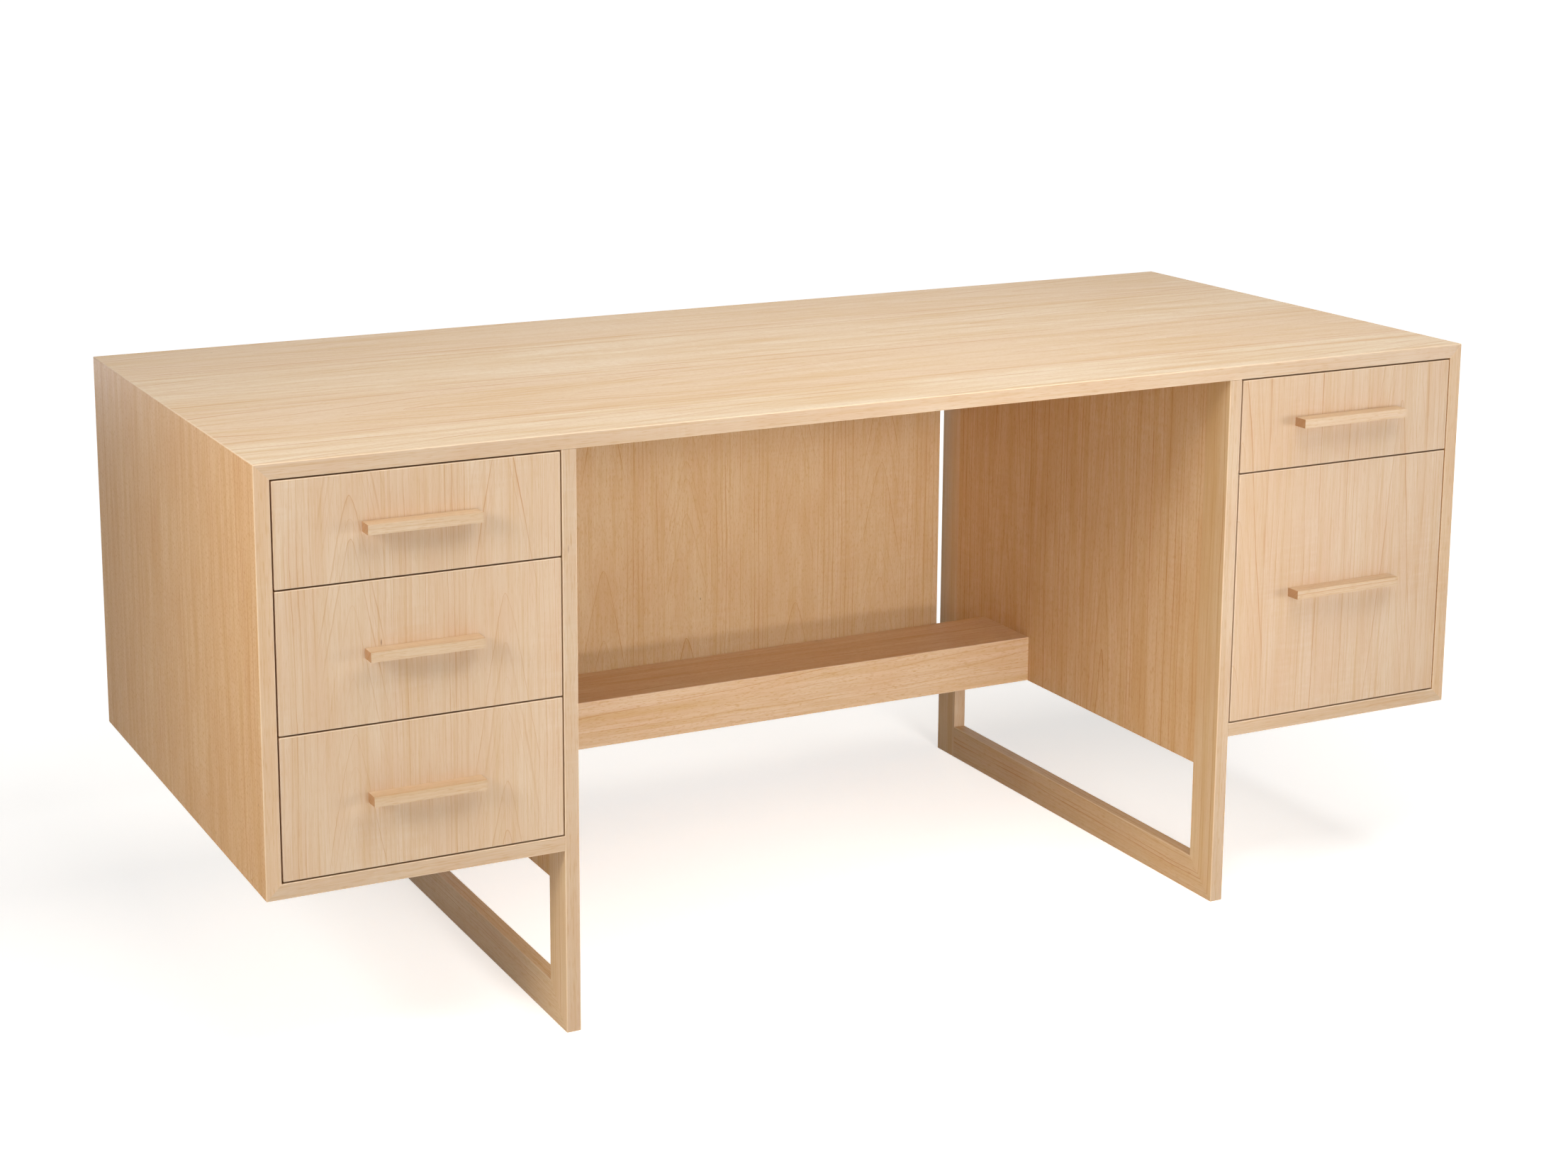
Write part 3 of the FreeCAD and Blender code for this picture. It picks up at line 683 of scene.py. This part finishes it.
for hand, outwards, outer_x, inner_x in (
    ("left", LEFT, case_low.x, left_high.x),
    ("right", RIGHT, case_high.x, right_low.x),
):
    bottom_low, bottom_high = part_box(f"{hand}_bottom_panel")
    gable_x = bottom_high.x if hand == "left" else bottom_low.x
    side_block = eased_block(case_low, case_high)
    cut_away(side_block, Vector((inner_x, 0, 0)), -outwards, eased=True)
    cut_away(side_block, Vector((outer_x, 0, case_high.z)), UP - outwards)
    cut_away(side_block, Vector((outer_x, 0, case_low.z)), DOWN - outwards)
    finished_board(
        f"case_{hand}_side", side_block, f"{hand}_side_panel", maple["side"],
    )

    bottom_block = eased_block(case_low, case_high)
    cut_away(bottom_block, bottom_high, UP, eased=True)
    cut_away(bottom_block, Vector((outer_x, 0, case_low.z)), UP + outwards)
    cut_away(bottom_block, Vector((gable_x, 0, 0)), -outwards)
    finished_board(
        f"case_{hand}_bottom", bottom_block, f"{hand}_bottom_panel", maple["bottom"],
    )

# %% [markdown]
# ## Leg frames
# Each gable stands on an open frame. Its front leg and its floor rail meet in a mitre that starts
# at the floor corner, so they are cut from one eased block in the same way. The rear leg runs
# down to the floor and the rail butts against it. Where a leg lies flush against the gable panel
# the veneer hides the joint, and no edge is eased there: the block is made longer than the leg
# and cut to length.

# %% Front legs, floor rails and rear legs
SPARE = 20 * MM
FRONT, REAR = Vector((0, -1, 0)), Vector((0, 1, 0))
for hand in ("left", "right"):
    leg_low, leg_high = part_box(f"{hand}_front_leg")
    rail_low, rail_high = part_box(f"{hand}_floor_rail")
    floor_corner = Vector((0, leg_low.y, 0))
    mitre = Vector((0, leg_high.y, rail_high.z)) - floor_corner
    above_mitre = Vector((0, -mitre.z, mitre.y)).normalized()

    leg_block = eased_block(leg_low, leg_high + Vector((0, SPARE, SPARE)))
    cut_away(leg_block, leg_high, UP)
    cut_away(leg_block, leg_high, REAR)
    cut_away(leg_block, floor_corner, -above_mitre)
    finished_board(
        f"{hand}_front_leg_eased", leg_block, f"{hand}_front_leg", maple["leg"],
    )

    rail_block = eased_block(rail_low, rail_high + Vector((0, SPARE, 0)))
    cut_away(rail_block, rail_high, REAR)
    cut_away(rail_block, floor_corner, above_mitre)
    finished_board(
        f"{hand}_floor_rail_eased", rail_block, f"{hand}_floor_rail", maple["rail"],
    )

    rear_low, rear_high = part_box(f"{hand}_rear_leg")
    rear_block = eased_block(rear_low - Vector((0, SPARE, 0)), rear_high + Vector((0, 0, SPARE)))
    cut_away(rear_block, rear_high, UP)
    cut_away(rear_block, rear_low, FRONT)
    finished_board(
        f"{hand}_rear_leg_eased", rear_block, f"{hand}_rear_leg", maple["leg"],
    )

# %% [markdown]
# ## Beam
# The beam is a shallow inverted trough: a top board mitred to a front and a rear board. One long
# box would look the same from the front but wrong from below, where the beam is open, so the
# three boards are cut from one eased block like the case. Its two long upper edges are eased and
# run from gable to gable.

# %% Beam boards
beam_low, beam_front_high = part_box("beam_front_board")
beam_rear_low, beam_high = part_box("beam_rear_board")
beam_top_low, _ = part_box("beam_top_board")
long_low, long_high = beam_low - Vector((SPARE, 0, 0)), beam_high + Vector((SPARE, 0, 0))
front_arris = Vector((0, beam_low.y, beam_high.z))
rear_arris = Vector((0, beam_high.y, beam_high.z))
BEAM_CUTS = {
    "beam_top_board": [
        (beam_top_low, DOWN), (front_arris, FRONT + DOWN), (rear_arris, REAR + DOWN),
    ],
    "beam_front_board": [(beam_front_high, REAR), (front_arris, UP + REAR)],
    "beam_rear_board": [(beam_rear_low, FRONT), (rear_arris, UP + FRONT)],
}
for node, cuts in BEAM_CUTS.items():
    beam_block = eased_block(long_low, long_high)
    for point, towards in cuts:
        cut_away(beam_block, point, towards)
    cut_away(beam_block, beam_low, LEFT)
    cut_away(beam_block, beam_high, RIGHT)
    finished_board(f"{node}_eased", beam_block, node, maple["beam"])

# %% [markdown]
# ## Boards with square edges
# The drawer fronts, the pulls, the panels and the drawer boxes are plain boards. They could be
# built again like the case, but their shape is right already, so their solids stay. A solid
# arrives as loose triangles: a Weld modifier joins them, and a Bevel modifier then eases every
# sharp edge. The mesh itself isn't touched. Panels that lie flush with a leg or inside the case
# keep their sharp edges.

# %% Finishes and eased edges on the solids
FRONT_EASE_MM = 0.9
PULL_EASE_MM = 0.7
JOIN_WITHIN = 1e-6
SHARP_ANGLE = 40


def dress(node, material, ease_mm=0.0):
    """Give a solid its finish, and eased edges if a width is given."""
    solid = nodes[node]
    solid.data.materials.clear()
    solid.data.materials.append(material)
    if ease_mm:
        weld = solid.modifiers.new("joined", "WELD")
        weld.merge_threshold = JOIN_WITHIN
        bevel = solid.modifiers.new("eased", "BEVEL")
        bevel.width = ease_mm * MM
        bevel.segments = 2
        bevel.limit_method = "ANGLE"
        bevel.angle_limit = math.radians(SHARP_ANGLE)


DRAWERS = (
    "left_top_drawer", "left_middle_drawer", "left_bottom_drawer",
    "right_top_drawer", "right_file_drawer",
)
for drawer in DRAWERS:
    hand = drawer.split("_")[0]
    dress(f"{drawer}_front", maple[f"{hand}_front"], FRONT_EASE_MM)
    dress(f"{drawer}_pull", maple["pull"], PULL_EASE_MM)
PANELS = {
    "modesty_panel": ("modesty", FRONT_EASE_MM),
    "left_gable_panel": ("gable", 0.0),
    "left_back_panel": ("back", 0.0),
    "right_gable_panel": ("gable", 0.0),
    "right_back_panel": ("back", 0.0),
}
for panel, (finish, ease_mm) in PANELS.items():
    dress(panel, maple[finish], ease_mm)
print("dressed", 2 * len(DRAWERS) + len(PANELS), "solids")

# %% [markdown]
# ## Drawer boxes
# The boxes are birch plywood: pale, close-grained faces, and edges that show the plies as thin
# stripes. The plies could be modelled one by one, but a ply has no shape of its own. The stripes
# run through the thickness of a board only, so a pattern that reads one direction stays plain on
# the face and striped on the edge.

# %% Birch plywood
BIRCH_PALE = hex_colour("E6CFA8")
BIRCH_TAN = hex_colour("D3B384")
PLY_BROWN = hex_colour("B08A58")
BIRCH_FIBRE_MM = (3.0, 90.0)
BIRCH_FIBRE_LOW, BIRCH_FIBRE_HIGH = 0.35, 0.7
BIRCH_SMOOTHEST, BIRCH_ROUGHEST = 0.42, 0.56
BIRCH_RELIEF_STRENGTH = 0.3
BIRCH_RELIEF_MM = 0.1
PLY_MM = 1.5
PLY_SHARE = 0.45
BOX_EASE_MM = 0.6


def birch_plywood(name, grain, through):
    """Lacquered birch plywood; the plies are stacked along one axis."""
    material = bpy.data.materials.new(name)
    material.use_nodes = True
    tree = material.node_tree
    shader = tree.nodes["Principled BSDF"]
    place = add(tree, "TexCoord", output="Object")
    millimetres = add(tree, "VectorMath", {0: place, "Scale": 1 / MM}, operation="SCALE")
    fibre_width, fibre_length = BIRCH_FIBRE_MM
    lengths = {number: fibre_width for number in AXES.values()}
    lengths[AXES[grain]] = fibre_length
    scale = add(tree, "CombineXYZ", {number: 1 / length for number, length in lengths.items()})
    vector = add(tree, "VectorMath", {0: millimetres, 1: scale}, operation="MULTIPLY")
    fibre = add(tree, "TexNoise", {"Vector": vector, "Scale": 1.0, "Detail": 3.0})
    depth = add(tree, "SeparateXYZ", {0: millimetres}).node.outputs[AXES[through]]
    plies = add(tree, "Math", {0: depth, 1: 1 / (2 * PLY_MM)}, operation="MULTIPLY")
    ply = add(tree, "Math", {0: plies}, operation="FRACT")
    dark_ply = add(tree, "Math", {0: ply, 1: 0.5}, operation="GREATER_THAN")
    ply_amount = add(tree, "Math", {0: dark_ply, 1: PLY_SHARE}, operation="MULTIPLY")
    fibre_amount = add(tree, "MapRange", {0: fibre, 1: BIRCH_FIBRE_LOW, 2: BIRCH_FIBRE_HIGH})
    face = add(
        tree, "Mix", {0: fibre_amount, 6: BIRCH_PALE, 7: BIRCH_TAN}, output=2, data_type="RGBA",
    )
    colour = add(tree, "Mix", {0: ply_amount, 6: face, 7: PLY_BROWN}, output=2, data_type="RGBA")
    roughness = add(tree, "MapRange", {0: fibre, 3: BIRCH_SMOOTHEST, 4: BIRCH_ROUGHEST})
    bump = add(
        tree, "Bump",
        {"Height": fibre, "Strength": BIRCH_RELIEF_STRENGTH, "Distance": BIRCH_RELIEF_MM * MM},
    )
    tree.links.new(colour, shader.inputs["Base Color"])
    tree.links.new(roughness, shader.inputs["Roughness"])
    tree.links.new(bump, shader.inputs["Normal"])
    return material


birch = {
    "box_sides": birch_plywood("birch_plywood_box_sides", "Y", "X"),
    "box_ends": birch_plywood("birch_plywood_box_ends", "X", "Y"),
    "box_bottom": birch_plywood("birch_plywood_box_bottoms", "X", "Z"),
}
for drawer in DRAWERS:
    for part, material in birch.items():
        dress(f"{drawer}_{part}", material, BOX_EASE_MM)
print("dressed", len(birch) * len(DRAWERS), "box parts")

# %% [markdown]
# ## Steel
# The slides are rolled from zinc-plated strip. Rolling leaves faint lines along the strip, and
# the zinc has a dull bluish bloom. The pull screws are plated too, but turned, so their sheen is
# brighter. Real rolling lines are finer than a tenth of a millimetre, so they are drawn 0.8 mm
# wide to show.

# %% Zinc-plated steel
ROLLING_MM = (0.8, 120.0, 0.8)
BLOOM_MM = 18.0
BLOOM_LOW, BLOOM_HIGH = 0.35, 0.7
LINE_LOW, LINE_HIGH = 0.3, 0.7
SLIDE_SMOOTH, SCREW_SMOOTH = 0.3, 0.22
ROUGHER = 0.18
ROLLING_RELIEF_STRENGTH = 0.2
ROLLING_RELIEF_MM = 0.05
SLIDE_EASE_MM = 0.25
SCREW_EASE_MM = 0.15


def zinc_plated_steel(name, bright, dull, smooth):
    """Zinc-plated steel with rolling lines along Y and cloudy bloom."""
    material = bpy.data.materials.new(name)
    material.use_nodes = True
    tree = material.node_tree
    shader = tree.nodes["Principled BSDF"]
    place = add(tree, "TexCoord", output="Object")
    line_scale = [1 / (size * MM) for size in ROLLING_MM]
    rolled = add(tree, "VectorMath", {0: place, 1: line_scale}, operation="MULTIPLY")
    lines = add(tree, "TexNoise", {"Vector": rolled, "Scale": 1.0, "Detail": 2.0})
    bloom = add(tree, "TexNoise", {"Vector": place, "Scale": 1 / (BLOOM_MM * MM), "Detail": 3.0})
    amount = add(tree, "MapRange", {0: bloom, 1: BLOOM_LOW, 2: BLOOM_HIGH})
    colour = add(
        tree, "Mix", {0: amount, 6: hex_colour(bright), 7: hex_colour(dull)}, output=2,
        data_type="RGBA",
    )
    roughness = add(
        tree, "MapRange", {0: lines, 1: LINE_LOW, 2: LINE_HIGH, 3: smooth, 4: smooth + ROUGHER},
    )
    bump = add(
        tree, "Bump",
        {"Height": lines, "Strength": ROLLING_RELIEF_STRENGTH, "Distance": ROLLING_RELIEF_MM * MM},
    )
    tree.links.new(colour, shader.inputs["Base Color"])
    tree.links.new(roughness, shader.inputs["Roughness"])
    tree.links.new(bump, shader.inputs["Normal"])
    shader.inputs["Metallic"].default_value = 1.0
    return material


slide_steel = zinc_plated_steel("zinc_plated_steel_slides", "C9CDD2", "A9AFB6", SLIDE_SMOOTH)
screw_steel = zinc_plated_steel("zinc_plated_steel_screws", "D2D3D2", "B4B6B6", SCREW_SMOOTH)
dress("slide_tracks", slide_steel, SLIDE_EASE_MM)
for drawer in DRAWERS:
    dress(f"{drawer}_slide_rails", slide_steel, SLIDE_EASE_MM)
    dress(f"{drawer}_slide_middles", slide_steel, SLIDE_EASE_MM)
    dress(f"{drawer}_pull_screws", screw_steel, SCREW_EASE_MM)
print("dressed", 1 + 3 * len(DRAWERS), "steel parts")

# %% [markdown]
# ## Floor and light
# The desk stands on a white sweep in even studio light. The floor is lit like everything else, so
# it keeps the soft shadow near the desk. A glow that only the camera and mirror-like surfaces see
# grows with the distance from the desk, so that the floor runs out into the white behind it with
# no visible edge.

# %% Floor
FLOOR_SIZE = 60.0
PAPER_WHITE = hex_colour("F2F1EE")
PAPER_ROUGHNESS = 0.9
PAPER_GLOSS = 0.1
floor_shape = bmesh.new()
bmesh.ops.create_grid(floor_shape, x_segments=2, y_segments=2, size=FLOOR_SIZE / 2)
floor_mesh = bpy.data.meshes.new("studio_floor")
floor_shape.to_mesh(floor_mesh)
floor_shape.free()
floor = bpy.data.objects.new("studio_floor", floor_mesh)
bpy.context.scene.collection.objects.link(floor)

# Matt paper scatters light evenly and mirrors next to nothing.
paper = bpy.data.materials.new("matt_white_paper_sweep")
paper.use_nodes = True
paper_tree = paper.node_tree
paper_shader = paper_tree.nodes["Principled BSDF"]
paper_shader.inputs["Base Color"].default_value = PAPER_WHITE
paper_shader.inputs["Roughness"].default_value = PAPER_ROUGHNESS
paper_shader.inputs["Specular IOR Level"].default_value = PAPER_GLOSS
floor_mesh.materials.append(paper)
print("floor", FLOOR_SIZE, "m square")

# %% Glow of the far floor
GLOW_NEAR, GLOW_FAR = 0.6, 1.0
NEAR_M, FAR_M = 1.2, 3.2
WHITE = (1, 1, 1, 1)


def seen_by_eye(tree):
    """1 for rays of the camera, and for rays that it sends on through a mirror or through glass."""
    rays = add(tree, "LightPath").node.outputs
    mirrored = add(
        tree, "Math", {0: rays["Is Camera Ray"], 1: rays["Is Glossy Ray"]}, operation="MAXIMUM",
    )
    return add(tree, "Math", {0: mirrored, 1: rays["Is Transmission Ray"]}, operation="MAXIMUM")


paper_place = add(paper_tree, "TexCoord", output="Object")
from_desk = add(paper_tree, "VectorMath", {0: paper_place}, output="Value", operation="LENGTH")
glow_here = add(
    paper_tree, "MapRange", {0: from_desk, 1: NEAR_M, 2: FAR_M, 3: GLOW_NEAR, 4: GLOW_FAR},
)
glow = add(paper_tree, "Math", {0: seen_by_eye(paper_tree), 1: glow_here}, operation="MULTIPLY")
paper_shader.inputs["Emission Color"].default_value = WHITE
paper_tree.links.new(glow, paper_shader.inputs["Emission Strength"])
print("glow from", GLOW_NEAR, "near the desk to", GLOW_FAR, "at", FAR_M, "m")

# %% World
WORLD_LEVEL = 0.03
WORLD_COLOUR = hex_colour("FFF4E6")
world = bpy.data.worlds.new("white_studio")
bpy.context.scene.world = world
world.use_nodes = True
world_tree = world.node_tree
dim = world_tree.nodes["Background"]
dim.inputs["Color"].default_value = WORLD_COLOUR
dim.inputs["Strength"].default_value = WORLD_LEVEL
white = add(world_tree, "Background", {"Color": WHITE, "Strength": 1.0})
mixed = add(world_tree, "MixShader", {0: seen_by_eye(world_tree), 1: dim.outputs[0], 2: white})
world_tree.links.new(mixed, world_tree.nodes["World Output"].inputs["Surface"])
print("world level", WORLD_LEVEL)

# %% [markdown]
# Large lamps give soft edges. One hangs high in front and draws the shadows under the pulls, and
# a long one above the top keeps its rear from falling off. One on the left has a wide grid, so
# that it lights the front of the side panel more than its rear. One on the right, one in front
# and one behind stand low, below the level of the top: they light the fronts, the kneehole and
# the back, and the top can't mirror them from any side. The rear one has a grid too, so that
# little of it comes through the open slits beside the modesty panel. The kneehole would still
# sink into the dark, so a small lamp with a narrow grid shines into it and leaves the fronts
# alone.

# %% Lamps
# Each lamp: its place and the point it is aimed at in metres, its width and height, its spread in
# degrees (180 is no grid), and its power in watts.
LAMPS = {
    "front_high_softbox": ((0.3, -1.2, 2.6), (0.2, -0.1, 0.4), (2.2, 1.2), 180, 36.5),
    "top_strip_softbox": ((0.2, 0.0, 2.4), (0.2, 0.05, 0.4), (2.4, 0.6), 180, 15.5),
    "left_softbox": ((-2.1, -0.85, 1.35), (-0.7, -0.35, 0.5), (0.7, 0.7), 90, 5.5),
    "right_softbox": ((3.2, -2.4, 0.47), (0.0, 0.0, 0.4), (1.8, 0.5), 180, 38.0),
    "front_softbox": ((-0.9, -3.8, 0.47), (-0.1, 0.0, 0.4), (2.2, 0.5), 180, 36.0),
    "rear_softbox": ((0.0, 3.2, 0.4), (0.0, 0.4, 0.45), (2.8, 0.5), 40, 4.8),
    "kneehole_grid_softbox": ((0.0, -2.6, 1.25), (0.18, 0.35, 0.24), (0.8, 0.4), 30, 1.06),
}
for name, (place, aim, size, spread, watts) in LAMPS.items():
    lamp_data = bpy.data.lights.new(name, "AREA")
    lamp_data.shape = "RECTANGLE"
    lamp_data.size, lamp_data.size_y = size
    lamp_data.spread = math.radians(spread)
    lamp_data.energy = watts
    lamp = bpy.data.objects.new(name, lamp_data)
    bpy.context.scene.collection.objects.link(lamp)
    lamp.location = place
    lamp.rotation_euler = (Vector(aim) - Vector(place)).to_track_quat("-Z", "Y").to_euler()
    print(name, watts, "W")
